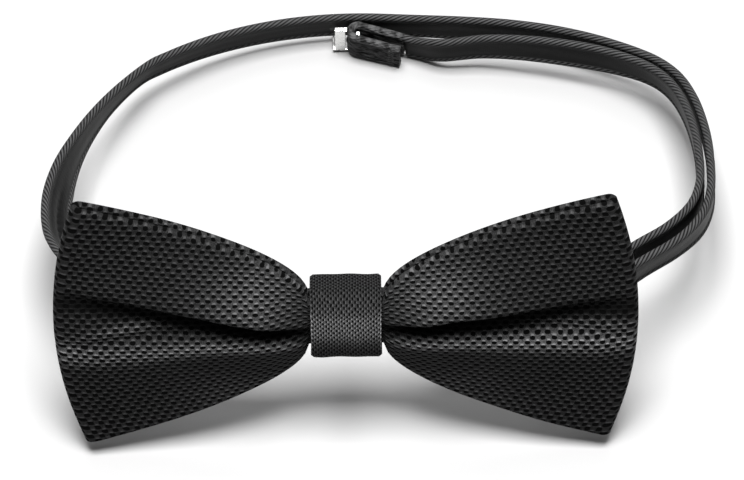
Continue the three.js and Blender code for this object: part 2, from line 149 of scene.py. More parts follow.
def skin(name, rings, u, v, point_values):
    """A surface over rings of points, rings[i, j]. u and v are millimetres of cloth along and round
    it, and have one more column than rings, for the seam. point_values are named arrays, one value
    for each point."""
    rows, around = rings.shape[:2]
    faces, corners = [], []
    for i in range(rows - 1):
        for j in range(around):
            k = (j + 1) % around
            faces.append((i * around + j, (i + 1) * around + j, (i + 1) * around + k, i * around + k))
            corners += [(i, j), (i + 1, j), (i + 1, j + 1), (i, j + 1)]
    for i in (0, rows - 1):
        faces.append(tuple(i * around + j for j in range(around)))
        corners += [(i, j) for j in range(around)]
    at = np.array(corners)
    uv = np.stack([u[at[:, 0], at[:, 1]], v[at[:, 0], at[:, 1]]], axis=1)
    thing = new_object(name, rings.reshape(-1, 3), faces, uv)
    for key, values in point_values.items():
        layer = thing.data.attributes.new(key, "FLOAT", "POINT")
        layer.data.foreach_set("value", np.asarray(values, np.float32).ravel())
    return thing


def smoothstep(low, high, x):
    t = np.clip((x - low) / (high - low), 0, 1)
    return t * t * (3 - 2 * t)


def ripple(*phases):
    """A few summed waves between about -1 and 1, for the slight unevenness of sewn cloth."""
    return sum(np.sin(phase) for phase in phases) / len(phases)


# ---- Bow -----------------------------------------------------------------------------------------

FLAT = 2 * (WING_REACH - FOLD_RADIUS - PANEL / 2)
BEND = math.pi * FOLD_RADIUS
HALF_BACK = (FLAT - END_SEAM_GAP) / 2

# The deepest line of each wing's pleat, as (distance from the knot's middle, height).
LEFT_PLEAT = [(7, -1.9), (28, 3.2), (46, 6.4), (57, 8.2)]
RIGHT_PLEAT = [(7, -1.4), (22, 2.1), (35, 3.4), (48, 4.8), (57, 5.4)]
# The shallow groove that splits the ridge below it, towards the outer fold.
LEFT_GROOVE = [(26, 0.5), (40, -0.6), (57, -3.4)]
RIGHT_GROOVE = [(30, -0.4), (44, -0.2), (57, -2.2)]

# Lines of painted highlight: below the pleat, and along the short line above the groove. These lines
# colour the cloth and don't shape it.
LEFT_CREST = [(7, -3.6), (28, -3.4), (41, -4.9), (57, -6.0)]
RIGHT_CREST = [(7, -3.4), (27, -3.2), (44, -3.6), (59, -4.6)]
LEFT_BRANCH = [(34, 2.1), (41, 1.8), (57, -2.6)]
RIGHT_BRANCH = [(42, 1.4), (57, -0.6)]


def wing_half_height(x):
    share = np.clip((np.abs(x) - PINCH_HALF_LENGTH) / (WING_REACH - PINCH_HALF_LENGTH), 0, None)
    return PINCH_HALF_HEIGHT + (WING_HALF_HEIGHT - PINCH_HALF_HEIGHT) * share**WING_FLARE_POWER


def along_line(x, left, right):
    """The height of a line given for both wings, at x."""
    reach = np.abs(x)
    return np.where(x < 0, np.interp(reach, *zip(*left)), np.interp(reach, *zip(*right)))


def front_relief(x, z, half_height):
    """How far the front panel stands out above and below the pleat, as a negative y."""
    reach = np.abs(x)
    pleat = along_line(x, LEFT_PLEAT, RIGHT_PLEAT)
    groove = along_line(x, LEFT_GROOVE, RIGHT_GROOVE)
    above = np.clip((z - pleat) / (half_height - pleat), 0, 1)
    below = np.clip((pleat - z) / (half_height + pleat), 0, 1)
    lip = 1 - np.exp(-(((z - pleat) / 1.2) ** 2))
    width = 3.4 + 3.4 * smoothstep(12, 52, reach)
    shoulder = 1 - np.exp(-(((z - pleat) / width) ** 2))
    upper_height = 2.0 + 5.0 * smoothstep(6, 18, reach) * (1 - smoothstep(22, 56, reach))
    lower_height = 4.6 + 2.4 * smoothstep(6, 14, reach) * (1 - smoothstep(16, 56, reach))
    upper = upper_height * lip * (1 - above) ** 1.2
    lower = lower_height * shoulder * (1 - below) ** 1.5
    split = 0.9 * smoothstep(24, 42, reach) * np.exp(-(((z - groove) / 1.1) ** 2))
    stand = np.where(z > pleat, upper, lower - split)
    return -stand * smoothstep(5, 9, reach)


def back_relief(x, z, half_height):
    reach = np.abs(x)
    round_out = np.cos(np.clip(z / half_height, -1, 1) * math.pi / 2)
    crease = np.exp(-((z / 1.8) ** 2))
    return (1.5 * round_out - 1.3 * crease) * smoothstep(6, 16, reach)


def bow_points(s, v, offset, extra):
    """Points of the folded panel. s is the length along the loop from its start behind the knot, v
    runs from -1 to 1 up the panel, offset is the distance out from the middle of its thickness and
    extra is added to the height. s is a column, and the others are rows."""
    radius = FOLD_RADIUS + offset
    first = np.clip((s - HALF_BACK) / FOLD_RADIUS, 0, math.pi)
    second = np.clip((s - HALF_BACK - BEND - FLAT) / FOLD_RADIUS, 0, math.pi)
    on_front = (s > HALF_BACK + BEND / 2) & (s < HALF_BACK + BEND * 1.5 + FLAT)
    run = s - HALF_BACK - BEND
    x = np.where(s < HALF_BACK, -s - END_SEAM_GAP / 2, np.clip(run, 0, FLAT) - FLAT / 2)
    x = np.where(run > FLAT + BEND, FLAT / 2 - (run - FLAT - BEND), x)
    x = x - radius * np.sin(first) + radius * np.sin(second)
    depth = np.where(second > 0, -np.cos(second), np.cos(first))
    y = radius * depth
    middle_x = x + 0 * offset
    reach = np.minimum(np.abs(middle_x), WING_REACH)
    half = wing_half_height(reach)
    z = v * (half - PANEL / 2) + extra
    bulge = WING_BULGE * v * v * smoothstep(PINCH_HALF_LENGTH, WING_REACH, reach) * np.sign(middle_x)
    front = front_relief(middle_x, z, half)
    back = back_relief(middle_x, z, half)
    share = (1 - depth) / 2  # 1 on the front panel, 0 on the back one, and between them in the folds
    fade = 1 - 0.7 * smoothstep(50, WING_REACH, reach)
    relief = (front * share + back * (1 - share)) * fade
    sweep = WING_SWEEP * (middle_x / WING_REACH) ** 2
    slack = 0.16 * ripple(z / 5 + middle_x / 9, z / 3.1 - middle_x / 6.3 + 1) * smoothstep(10, 30, reach)
    slack = slack * np.where(on_front, 1, 0.6)
    return np.stack([middle_x - bulge, y + relief - sweep + slack, z + 0 * s], axis=-1)


def painted_light_on_bow(points):
    """Painted light and shade on the bow's yarn: painted highlight along the crest lines, beside the knot and
    near the lower hem by the knot, and painted shade down in the pleat. It deepens the contrast that the folds'
    own shape gives."""
    x, y, z = points[..., 0], points[..., 1], points[..., 2]
    reach = np.abs(x)
    pleat = along_line(x, LEFT_PLEAT, RIGHT_PLEAT)
    crest = along_line(x, LEFT_CREST, RIGHT_CREST)
    branch = along_line(x, LEFT_BRANCH, RIGHT_BRANCH)
    width = 1.1 + 0.9 * smoothstep(10, 50, reach)
    fullness = np.exp(-(((reach - 18) / 9) ** 2)) * np.exp(-(((z - 9) / 7) ** 2))
    hem = smoothstep(8, 14, reach) * (1 - smoothstep(20, 40, reach)) * smoothstep(-9, -16, z)
    ridge = np.exp(-(((z - crest) / width) ** 2))
    short_ridge = smoothstep(33, 42, reach) * np.exp(-(((z - branch) / 1.5) ** 2))
    painted_pleat_shade = np.exp(-(((z - pleat + 1.5) / 2.3) ** 2))
    # Painted highlight from the fullness, hem, crest and short-line terms, and painted shade from the pleat term.
    painted_light_and_shade = 0.16 + 0.42 * fullness + 0.14 * hem + 0.9 * ridge + 0.45 * short_ridge
    return np.where(y < 0, painted_light_and_shade * (1 - 0.95 * painted_pleat_shade), 0.3)


def loop_places(step, fold_steps):
    """Lengths along the bow's loop, closer together round its outer folds."""
    stretches = [(HALF_BACK, step), (BEND, BEND / fold_steps), (FLAT, step), (BEND, BEND / fold_steps)]
    places = [np.zeros(1)]
    for length, pitch in stretches + [(HALF_BACK, step)]:
        count = math.ceil(length / pitch - 1e-6)
        places.append(places[-1][-1] + length * np.arange(1, count + 1) / count)
    return np.concatenate(places)[:, None]


def panel_outline(thickness, rows, reach=1.0, edge_steps=5):
    """The panel's section, as rows v, offset and extra height: up one face, over the top edge, down
    the other face and round the lower edge."""
    half = thickness / 2
    face = np.linspace(-reach, reach, rows)
    turn = np.linspace(0, math.pi, edge_steps + 2)[1:-1]
    top, bottom = np.full(edge_steps, reach), np.full(edge_steps, -reach)
    v = np.concatenate([face, top, face[::-1], bottom])
    offset = np.concatenate([
        np.full(rows, half), half * np.cos(turn), np.full(rows, -half), -half * np.cos(turn)
    ])
    extra = np.concatenate([
        np.zeros(rows), half * np.sin(turn), np.zeros(rows), -half * np.sin(turn)
    ])
    return v[None], offset[None], extra[None]


def bow_panel(name, thickness, step, fold_steps, rows, reach=1.0):
    s = loop_places(step, fold_steps)
    outline = panel_outline(thickness, rows, reach)
    points = bow_points(s, *outline)
    closed = np.concatenate([points, points[:, :1]], axis=1)
    seam = [np.concatenate([part, part[:, :1]], axis=1) for part in outline]
    # The cloth's rows spread with the wing, but its threads keep most of their own spacing.
    half = wing_half_height(np.minimum(np.abs(closed[..., 0]), WING_REACH))
    rows_of_cloth = seam[0] * half**0.65 * WING_HALF_HEIGHT**0.35 + seam[2]
    along = s + 0 * seam[0]
    reach = np.abs(points[..., 0])
    spread = smoothstep(26, 52, reach) + 0.4 * smoothstep(0, 20, -points[..., 2])
    # The second value is the bow's painted light and shade, carried on the mesh for the cloth's colour.
    values = {"open": spread, "painted_light_and_shade": painted_light_on_bow(points)}
    return skin(name, points, along, rows_of_cloth, point_values=values)


# ---- Knot ----------------------------------------------------------------------------------------

def knot_path(front, back, half_height, corner, steps=120):
    """Points (y, z) round a rounded slab, with their outward normals and lengths, from one side of
    the closing seam on its back, down, round the front and back to the seam's other side."""
    centres = [(back - corner, -half_height + corner, 0), (front + corner, -half_height + corner, -90)]
    centres += [(front + corner, half_height - corner, 180), (back - corner, half_height - corner, 90)]
    points = [(back, CLOSING_Z)]
    for y, z, start in centres:
        for turn in range(0, 91, 9):
            a = math.radians(start - turn)
            points.append((y + corner * math.cos(a), z + corner * math.sin(a)))
    points.append((back, CLOSING_Z))
    points = np.array(points)
    length = np.concatenate([[0], np.cumsum(np.linalg.norm(np.diff(points, axis=0), axis=1))])
    at = np.linspace(0.45, length[-1] - 0.45, steps)
    path = np.stack([np.interp(at, length, points[:, i]) for i in (0, 1)], axis=1)
    along = np.gradient(path, axis=0)
    along /= np.linalg.norm(along, axis=1)[:, None]
    normal = np.stack([-along[:, 1], along[:, 0]], axis=1)
    centre = np.array([(front + back) / 2, 0])
    normal *= np.sign(np.sum(normal * (path - centre), axis=1))[:, None]
    return path, normal, at


def knot_loop(name, length, front, back, half_height, wall, corner, crown):
    """A loop of cloth round the X axis, its sides turned in. crown is how far its front rounds out."""
    path, normal, at = knot_path(front + wall / 2, back - wall / 2, half_height - wall / 2, corner)
    across = np.concatenate([np.linspace(-1, 1, 25), np.linspace(1, -1, 25)])
    side = np.concatenate([np.ones(25), -np.ones(25)])
    roll = np.sqrt(np.clip(1 - ((np.abs(across) - 0.9) / 0.1).clip(0) ** 2, 0, 1))
    out = side * wall / 2 * roll
    facing = np.clip(-normal[:, :1], 0, 1)
    height = path[:, 1:] / half_height
    bulge = crown * facing * (1 - height**2) * (1 - 0.35 * across[None] ** 4)
    waist = 1 - 0.02 * (1 - height**2) * facing
    slack = 0.1 * ripple(at[:, None] / 2.3 + across * 4, at[:, None] / 3.7 - across * 7)
    out = out[None] + slack * (1 - np.abs(across[None]) ** 6)
    x = across[None] * length / 2 * waist
    y = path[:, :1] + normal[:, :1] * out - bulge
    z = path[:, 1:] + normal[:, 1:] * out
    rings = np.stack([x + 0 * y, y, z], axis=-1)
    u = np.repeat(at[:, None], 51, axis=1)
    v = np.concatenate([across, across[:1]])[None] * length / 2 + 0 * u
    # Painted highlight across the knot's middle, fading to painted shade towards its top and bottom.
    painted_light_and_shade = 0.12 + 1.25 * np.exp(-(((z - 1.4) / 3.2) ** 2))
    return skin(name, rings, u, v, point_values={"painted_light_and_shade": painted_light_and_shade})


# ---- Thread --------------------------------------------------------------------------------------

def thread_tubes(name, runs, radius, sides=7):
    """One mesh of round threads, each along its own run of points."""
    points, faces, uv = [], [], []
    for run in runs:
        run = np.asarray(run, float)
        along = np.gradient(run, axis=0)
        along /= np.linalg.norm(along, axis=1)[:, None]
        across = np.cross(along, np.array([0.31, 0.57, 0.76]))
        across /= np.linalg.norm(across, axis=1)[:, None]
        third = np.cross(along, across)
        length = np.concatenate([[0], np.cumsum(np.linalg.norm(np.diff(run, axis=0), axis=1))])
        base = len(points)
        for i, centre in enumerate(run):
            for j in range(sides):
                a = 2 * math.pi * j / sides
                points.append(centre + radius * (math.cos(a) * across[i] + math.sin(a) * third[i]))
        for i in range(len(run) - 1):
            for j in range(sides):
                k = (j + 1) % sides
                here, after = base + i * sides, base + (i + 1) * sides
                faces.append((here + j, after + j, after + k, here + k))
                uv += [(length[i], j / sides), (length[i + 1], j / sides)]
                uv += [(length[i + 1], (j + 1) / sides), (length[i], (j + 1) / sides)]
        for i in (0, len(run) - 1):
            faces.append(tuple(base + i * sides + j for j in range(sides)))
            uv += [(length[i], j / sides) for j in range(sides)]
    return new_object(name, points, faces, uv)


def stitch(start, end, rise, steps=9):
    """One stitch that rises off the cloth by the vector rise in its middle."""
    t = np.linspace(0, 1, steps)[:, None]
    return np.asarray(start) * (1 - t) + np.asarray(end) * t + np.asarray(rise) * np.sin(math.pi * t)


# ---- Strap ---------------------------------------------------------------------------------------

CORD_RADIUS = STRAP / 2  # of the strap's rounded edges
CORD_MIDDLE = STRAP_WIDTH / 2 - CORD_RADIUS
WEB = 0.64  # half thickness of the satin between them


def strap_section():
    """The strap's section as rows: across its width, through its thickness, how far round its edge
    each point is, and 1 on the edges or 0 on the faces."""
    meet = math.acos(-math.sqrt(1 - (WEB / CORD_RADIUS) ** 2))
    around = np.linspace(meet, -meet, 15)
    face = np.linspace(CORD_MIDDLE - CORD_RADIUS * abs(math.cos(meet)), 0, 6)[1:]
    face = np.concatenate([face, -face[:-1][::-1]])
    across = [CORD_MIDDLE + CORD_RADIUS * np.cos(around), face]
    across += [-CORD_MIDDLE - CORD_RADIUS * np.cos(around), -face]
    through = [CORD_RADIUS * np.sin(around), np.full(face.shape, -WEB)]
    through += [-CORD_RADIUS * np.sin(around), np.full(face.shape, WEB)]
    turn = [around * CORD_RADIUS, 0 * face, around * CORD_RADIUS, 0 * face]
    edge = [0 * around + 1, 0 * face, 0 * around + 1, 0 * face]
    return [np.concatenate(part)[None] for part in (across, through, turn, edge)]


def smooth_run(points, per_span=24):
    """A centripetal Catmull-Rom curve through (x, y, lean, z) points, as rows x, y, z, lean."""
    rows = [(*p, 0, 0)[:4] for p in points]
    places = np.array([(x, y, z) for x, y, _, z in rows], float)
    leans = np.array([lean for _, _, lean, _ in rows], float)
    p = np.vstack([2 * places[0] - places[1], places, 2 * places[-1] - places[-2]])
    out = []
    for i in range(1, len(p) - 2):
        knots = [max(np.sum((p[i + k + 1] - p[i + k]) ** 2) ** 0.25, 1e-4) for k in (-1, 0, 1)]
        before, span, after = knots
        step = p[i + 1] - p[i]
        t1 = ((p[i] - p[i - 1]) / before - (p[i + 1] - p[i - 1]) / (before + span) + step / span) * span
        t2 = (step / span - (p[i + 2] - p[i]) / (span + after) + (p[i + 2] - p[i + 1]) / after) * span
        for t in np.arange(per_span) / per_span:
            place = p[i] + t1 * t + (3 * step - 2 * t1 - t2) * t**2 + (t1 + t2 - 2 * step) * t**3
            out.append((*place, leans[i - 1] * (1 - t) + leans[i] * t))
    out.append((*places[-1], leans[-1]))
    return out


def even_run(rows, step=1.0):
    """Rows x, y, z, lean at even steps along a line through the given ones, with a smooth lean."""
    rows = np.array(rows, float)
    length = np.concatenate([[0], np.cumsum(np.linalg.norm(np.diff(rows[:, :3], axis=0), axis=1))])
    at = np.linspace(0, length[-1], max(math.ceil(length[-1] / step), 4) + 1)
    run = np.stack([np.interp(at, length, rows[:, i]) for i in range(4)], axis=1)
    padded = np.pad(run[:, 3], 6, mode="edge")
    run[:, 3] = np.convolve(padded, np.ones(13) / 13, mode="valid")
    return run, at


def strap_mesh(name, rows, relief, place=Matrix.Identity(4), step=1.0):
    """A strap along rows x, y, z, lean that run clockwise, seen from above. relief gives how far its
    surface stands out, from the length along it and the place across it."""
    run, at = even_run(rows, step)
    across, through, turn, edge = strap_section()
    along = np.gradient(run[:, :2], axis=0)
    along /= np.linalg.norm(along, axis=1)[:, None]
    lean = np.radians(run[:, 3:])
    thick = through + np.sign(through) * relief(at[:, None], across) * (1 - edge)
    out = thick * np.cos(lean) - across * np.sin(lean)
    up = across * np.cos(lean) + thick * np.sin(lean)
    x = run[:, :1] - along[:, 1:] * out
    y = run[:, 1:2] + along[:, :1] * out
    rings = moved(np.stack([x, y, run[:, 2:3] + up], axis=-1), place)
    shape = rings.shape[:2]
    seam = np.concatenate([across, across[:, :1]], axis=1)
    u = at[:, None] + 0 * seam
    values = {"edge": np.broadcast_to(edge, shape), "turn": np.broadcast_to(turn, shape)}
    return skin(name, rings, u, seam + 0 * u, values)


def on_arc(degrees):
    a = math.radians(degrees)
    return ARC_CENTRE.x + ARC_RADIUS * math.cos(a), ARC_CENTRE.y + ARC_RADIUS * math.sin(a)


def turn_rows(x, y, side, steps=24):
    """Half a turn round a bar at (x, y), from its -Y side to its +Y side."""
    rows = []
    for i in range(steps + 1):
        a = math.pi * i / steps
        rows.append((x + side * TURN_RADIUS * math.sin(a), y - TURN_RADIUS * math.cos(a), 0, 0))
    return rows


def on_band():
    """From the slider's own flat frame to its place on the arc."""
    lean = Matrix.Rotation(math.radians(ARC_LEAN), 4, "X")
    turn = Matrix.Rotation(math.radians(SLIDER_ANGLE - 90), 4, "Z")
    return Matrix.Translation((*on_arc(SLIDER_ANGLE), 0)) @ turn @ lean


def on_tab():
    """From the sewn end's frame, with the slider's bar at its origin, to its place."""
    swing = Matrix.Rotation(math.radians(-TAB_SWING), 4, "Z")
    return on_band() @ Matrix.Translation((TAB_BAR_X, TAB_BAR, 0)) @ swing


def tab_place(distance):
    x, y, z = on_tab() @ Vector((distance, TURN_RADIUS, 0))
    return x, y, ARC_LEAN, z


def hook_level(side):
    return [(HOOK_LOOP_END + x, HOOK_Y + side * TURN_RADIUS, 0, 0) for x in (4, CLEARANCE)]


LEFT_RUN = [
    (-20, STRAP_BEHIND_KNOT, 0),
    (-34, 5.8, -8),
    (-46, 9.8, -20),
    (-54.6, 16.5, -34),
    (-59.6, 26.4, -45),
    (-61.4, 39.4, -42),
    (-60.7, 51.5, -27),
    (-58.7, 61.8, -6),
    (-55.3, 73.1, 9),
    (-50.6, 84, 22),
]
RIGHT_RUN = [
    (16, 111.9, 29),
    (27, 110.6, 26),
    (38, 108.6, 22),
    (49.5, 104.9, 18),
    (60.5, 99.5, 20),
    (69.8, 93, 28),
    (74.2, 86.4, 20),
    (77.1, 76.2, 12),
    (78.6, 62, 8),
    (78.4, 50, 3),
    (77.4, 40, 0),
    (74.8, 31.5, -10),
    (69.8, 24, -22),
    (62, 16.4, -24),
    (55, 9.4, -12),
]
RETURN_RUN = [
    (22, 104.2, 28, -1.8),
    (31, 103.6, 26, -0.6),
    (40, 101.9, 22),
    (49.7, 99.6, 18),
    (59, 96.2, 20),
    (67.4, 90.8, 28),
    (71.7, 84.8, 20),
    (74.6, 75.6, 12),
    (76.2, 62, 8),
    (76.1, 50, 3),
    (75.1, 41, 0),
    (72.4, 33.2, 0),
    (67.2, 26.2, -4),
    (60.2, 19.8, -6),
    (54, 13, -4),
]
SPLIT_Y = 50  # on the right side, where the moving turn at the hook parts from the two long runs


def split_at(rows, y):
    """Two runs of rows, parted where a run down the right side passes y."""
    last = max(i for i, row in enumerate(rows) if row[0] > 0 and row[1] >= y)
    return rows[: last + 1], rows[last:]


def outer_rows():
    arc = [(*on_arc(a), ARC_LEAN) for a in range(ARC_TO, ARC_FROM - 1, -4)]
    fold = turn_rows(EYE_LEFT, EYE_Y, 1)[::-1]
    behind = [(x, STRAP_BEHIND_KNOT, 0, 0) for x in (15, 5, -5, -15)]
    tail = [(EYE_LEFT - EYE_TAIL, EYE_Y + TURN_RADIUS, 0, 0)]
    return tail + fold + behind + smooth_run([*LEFT_RUN, *arc, *RIGHT_RUN, *hook_level(-1)])


def return_rows():
    start = [tab_place(TAB_LENGTH + 0.1), tab_place(TAB_LENGTH + 3)]
    return smooth_run([*start, *RETURN_RUN, *hook_level(1)])


# ---- Materials -----------------------------------------------------------------------------------

class Shader:
    """A material's node tree, with short ways to add to it."""

    def __init__(self, name):
        self.material = bpy.data.materials.new(name)
        self.material.use_nodes = True
        self.tree = self.material.node_tree
        self.surface = self.tree.nodes["Principled BSDF"]

    def node(self, kind, inputs=(), **settings):
        made = self.tree.nodes.new(kind)
        for key, value in settings.items():
            setattr(made, key, value)
        for key, value in dict(inputs).items():
            self.put(made.inputs[key], value)
        return made

    def put(self, socket, value):
        if isinstance(value, bpy.types.NodeSocket):
            self.tree.links.new(value, socket)
        else:
            socket.default_value = value

    def math(self, operation, *values):
        made = self.node("ShaderNodeMath", operation=operation)
        for socket, value in zip(made.inputs, values):
            self.put(socket, value)
        return made.outputs[0]

    def wave(self, value, period, phase=0.0):
        """cos(2 pi value / period + phase)."""
        return self.math("COSINE", self.math("MULTIPLY_ADD", value, 2 * math.pi / period, phase))

    def step(self, value, low, high, to_low=0.0, to_high=1.0):
        inputs = {"Value": value, "From Min": low, "From Max": high, "To Min": to_low, "To Max": to_high}
        made = self.node("ShaderNodeMapRange", inputs, interpolation_type="SMOOTHSTEP")
        return made.outputs["Result"]

    def mix(self, share, first, second):
        return self.node(
            "ShaderNodeMix", {"Factor": share, "A": first, "B": second}, data_type="FLOAT"
        ).outputs[0]

    def colour(self, share, first, second):
        made = self.node("ShaderNodeMix", data_type="RGBA")
        self.put(made.inputs[0], share)
        for socket, value in zip(made.inputs[6:8], (first, second)):
            self.put(socket, (*value, 1) if isinstance(value, tuple) else value)
        return made.outputs[2]

    def cloth_place(self):
        """Millimetres along and across the cloth."""
        cloth = self.node("ShaderNodeUVMap", uv_map="cloth").outputs[0]
        place = self.node("ShaderNodeSeparateXYZ", {0: cloth})
        return place.outputs[0], place.outputs[1]

    def noise(self, scale, detail=2.0):
        """Noise in the object's own space. scale is in features per millimetre."""
        place = self.node("ShaderNodeTexCoord").outputs["Object"]
        inputs = {"Vector": place, "Scale": scale / MM, "Detail": detail}
        return self.node("ShaderNodeTexNoise", inputs).outputs[0]

    def attribute(self, name):
        return self.node("ShaderNodeAttribute", attribute_name=name).outputs["Fac"]

    def bump(self, height, depth):
        """A bump depth millimetres deep where height goes from 0 to 1."""
        inputs = {"Height": height, "Distance": depth * MM, "Strength": 1.0}
        return self.node("ShaderNodeBump", inputs).outputs[0]

    def finish(self, colour, roughness, normal=None, **constants):
        self.put(self.surface.inputs["Base Color"], colour)
        self.put(self.surface.inputs["Roughness"], roughness)
        if normal is not None:
            self.put(self.surface.inputs["Normal"], normal)
        for key, value in constants.items():
            self.surface.inputs[key.replace("_", " ").title().replace("Ior", "IOR")].default_value = value
        return self.material


WEAVE_ACROSS = 2.2  # millimetres between the cloth's holes along a row
WEAVE_ROW = 1.1  # between its rows
TWILL_STEP = 1.55  # between the strokes on the strap's edges
TWILL_SLANT = -1.9  # how far a stroke runs along the strap for each millimetre round its edge


def woven_black(name, scale=1.0):
    """Black bird's-eye cloth: rows of long holes painted near black as painted shade in the weave's pits,
    each row half a step on, with a float of yarn above each hole painted lighter as a painted highlight.
    The holes open wider where the cloth's attribute "open" is high, and the yarn carries the painted light and
    shade of its point attribute."""
    shader = Shader(name)
    u, v = shader.cloth_place()
    wander = shader.math("MULTIPLY_ADD", shader.noise(0.45), 0.9, -0.45)
    u = shader.math("ADD", u, wander)
    v = shader.math("MULTIPLY_ADD", shader.noise(0.6), 0.5, v)
    across, rows = WEAVE_ACROSS * scale, WEAVE_ROW * scale
    column = shader.wave(u, across)
    lattice = shader.math("MULTIPLY", column, shader.wave(v, 2 * rows))
    lattice = shader.math("MULTIPLY_ADD", shader.wave(v, rows), 0.2, lattice)
    uneven = shader.math("MULTIPLY_ADD", shader.noise(0.9), 0.5, -0.25)
    lattice = shader.math("ADD", lattice, uneven)
    lattice = shader.math("MULTIPLY_ADD", shader.attribute("open"), 0.22, lattice)
    hole = shader.step(lattice, 0.08, 0.5)
    # Painted highlight: a mask of the float of yarn just above each hole, which is painted lighter than the rest
    # of the yarn.
    float_highlight = shader.math("MULTIPLY", column, shader.wave(v, 2 * rows, -0.42 * math.pi))
    float_highlight = shader.step(float_highlight, 0.15, 0.85)
    yarn = shader.wave(u, across / 5)
    crown = shader.math("MULTIPLY", shader.wave(v, rows, math.pi), 0.5)
    height = shader.math("MULTIPLY_ADD", yarn, 0.06, shader.math("MULTIPLY", hole, -1.0))
    height = shader.math("MULTIPLY_ADD", crown, 0.3, height)
    fuzz = shader.noise(4.0, 3.0)
    height = shader.math("MULTIPLY_ADD", fuzz, 0.12, height)
    dull = shader.colour(shader.step(fuzz, 0.3, 0.7), (0.016, 0.016, 0.0162), (0.05, 0.05, 0.0505))
    thread = shader.colour(float_highlight, dull, (0.12, 0.12, 0.1215))
    # Painted light and shade: the yarn is taken towards near black where the point attribute of painted light and
    # shade is low.
    thread = shader.colour(shader.attribute("painted_light_and_shade"), (0.001, 0.001, 0.001), thread)
    # Painted shade: the holes are painted near black, as the shade down in the weave's pits.
    colour = shader.colour(hole, thread, (0.0004, 0.0004, 0.0004))
    roughness = shader.mix(hole, 0.5, 1.0)
    return shader.finish(colour, roughness, shader.bump(height, 0.16), specular_ior_level=0.03)


def satin_strap(name, crumpled=0.0):
    """Black satin strap with two twilled, cord-like edges. crumpled, from 0 to 1, is how far it is drawn
    into small lengthwise wrinkles, with painted highlight on their crests and painted shade in their troughs."""
    shader = Shader(name)
    u, v = shader.cloth_place()
    edge, turn = shader.attribute("edge"), shader.attribute("turn")
    slanted = shader.math("MULTIPLY_ADD", turn, TWILL_SLANT, u)
    stroke = shader.wave(slanted, TWILL_STEP)
    ragged = shader.math("MULTIPLY_ADD", shader.noise(0.8), 1.4, -0.7)
    stroke = shader.step(shader.math("ADD", stroke, ragged), -0.75, 0.6)
    line = shader.wave(v, 0.42)
    streaks = shader.noise(0.5, 3.0)
    face = shader.math("MULTIPLY_ADD", line, 0.08, shader.math("MULTIPLY", streaks, 0.5))
    fine = shader.wave(slanted, TWILL_STEP / 4)
    stroke = shader.math("MULTIPLY_ADD", fine, 0.14, stroke)
    height = shader.mix(edge, face, stroke)
    drawn = shader.node("ShaderNodeCombineXYZ", {0: shader.math("MULTIPLY", u, 0.3), 1: v})
    wrinkle = shader.node("ShaderNodeTexNoise", {"Vector": drawn.outputs[0], "Scale": 1.7, "Detail": 3.0})
    wrinkle = shader.step(wrinkle.outputs[0], 0.36, 0.64)
    height = shader.math("MULTIPLY_ADD", wrinkle, 3.0 * crumpled, height)
    weft = shader.wave(u, 0.5)
    height = shader.math("MULTIPLY_ADD", weft, 0.04, height)
    fuzz = shader.noise(3.0, 3.0)
    height = shader.math("MULTIPLY_ADD", fuzz, 0.12, height)
    satin = shader.colour(streaks, (0.0008, 0.0008, 0.0008), (0.0035, 0.0035, 0.0036))
    twill = shader.colour(stroke, (0.0012, 0.0012, 0.0012), (0.03, 0.03, 0.0303))
    colour = shader.colour(edge, satin, twill)
    # Painted highlight on the wrinkles' crests and painted shade in their troughs.
    wrinkle_highlight_and_shade = shader.colour(wrinkle, (0.001, 0.001, 0.001), (0.045, 0.045, 0.0455))
    colour = shader.colour(0.8 * crumpled, colour, wrinkle_highlight_and_shade)
    roughness = shader.mix(edge, 0.42, 0.6)
    return shader.finish(
        colour, roughness, shader.bump(height, 0.09), specular_ior_level=0.06,
    )


def twisted_thread(name):
    shader = Shader(name)
    u, v = shader.cloth_place()
    ply = shader.wave(shader.math("MULTIPLY_ADD", v, 0.8, u), 0.5)
    colour = shader.colour(shader.step(ply, -1, 1), (0.004, 0.004, 0.004), (0.03, 0.03, 0.03))
    return shader.finish(colour, 0.55, shader.bump(ply, 0.05), specular_ior_level=0.4)


def felt(name):
    shader = Shader(name)
    fibre = shader.noise(1.2, 5.0)
    colour = shader.colour(fibre, (0.5, 0.48, 0.42), (0.74, 0.72, 0.66))
    return shader.finish(colour, 0.95, shader.bump(fibre, 0.12), sheen_weight=0.3)


def plated_steel(name):
    """Bright plated steel, with fine scratches and the slight dulling of handling."""
    shader = Shader(name)
    smudge = shader.noise(0.5, 4.0)
    place = shader.node("ShaderNodeTexCoord").outputs["Object"]
    stretched = shader.node("ShaderNodeMapping", {"Vector": place, "Scale": (400.0, 400.0, 9000.0)})
    scratch = shader.node("ShaderNodeTexNoise", {"Vector": stretched.outputs[0], "Scale": 1.0}).outputs[0]
    colour = shader.colour(smudge, (0.62, 0.62, 0.61), (0.82, 0.82, 0.81))
    roughness = shader.step(smudge, 0.3, 0.7, 0.16, 0.34)
    return shader.finish(colour, roughness, shader.bump(scratch, 0.003), metallic=1.0)


def pale_paper(name):
    shader = Shader(name)
    grain = shader.noise(0.05, 4.0)
    colour = shader.colour(grain, (0.205, 0.205, 0.205), (0.21, 0.21, 0.21))
    return shader.finish(colour, 0.9, specular_ior_level=0.1)


CLOTH_LOOK = woven_black("bow_cloth_weave")
KNOT_LOOK = woven_black("knot_cloth_weave", scale=0.5)
STRAP_LOOK = satin_strap("strap_satin")
TAB_LOOK = satin_strap("tab_satin", crumpled=1.0)
THREAD_LOOK = twisted_thread("sewing_thread")
FELT_LOOK = felt("interlining_felt")
STEEL_LOOK = plated_steel("plated_steel")


def dress(thing, look, slot, body, *nodes):
    """Gives a piece its look, and lets it stand for CAD nodes and ride on a body. slot is not used."""
    thing.data.materials.clear()
    thing.data.materials.append(look)
    if nodes:
        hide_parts(*nodes)
    if body:
        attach(thing, body)
    return thing


# ---- Pieces --------------------------------------------------------------------------------------

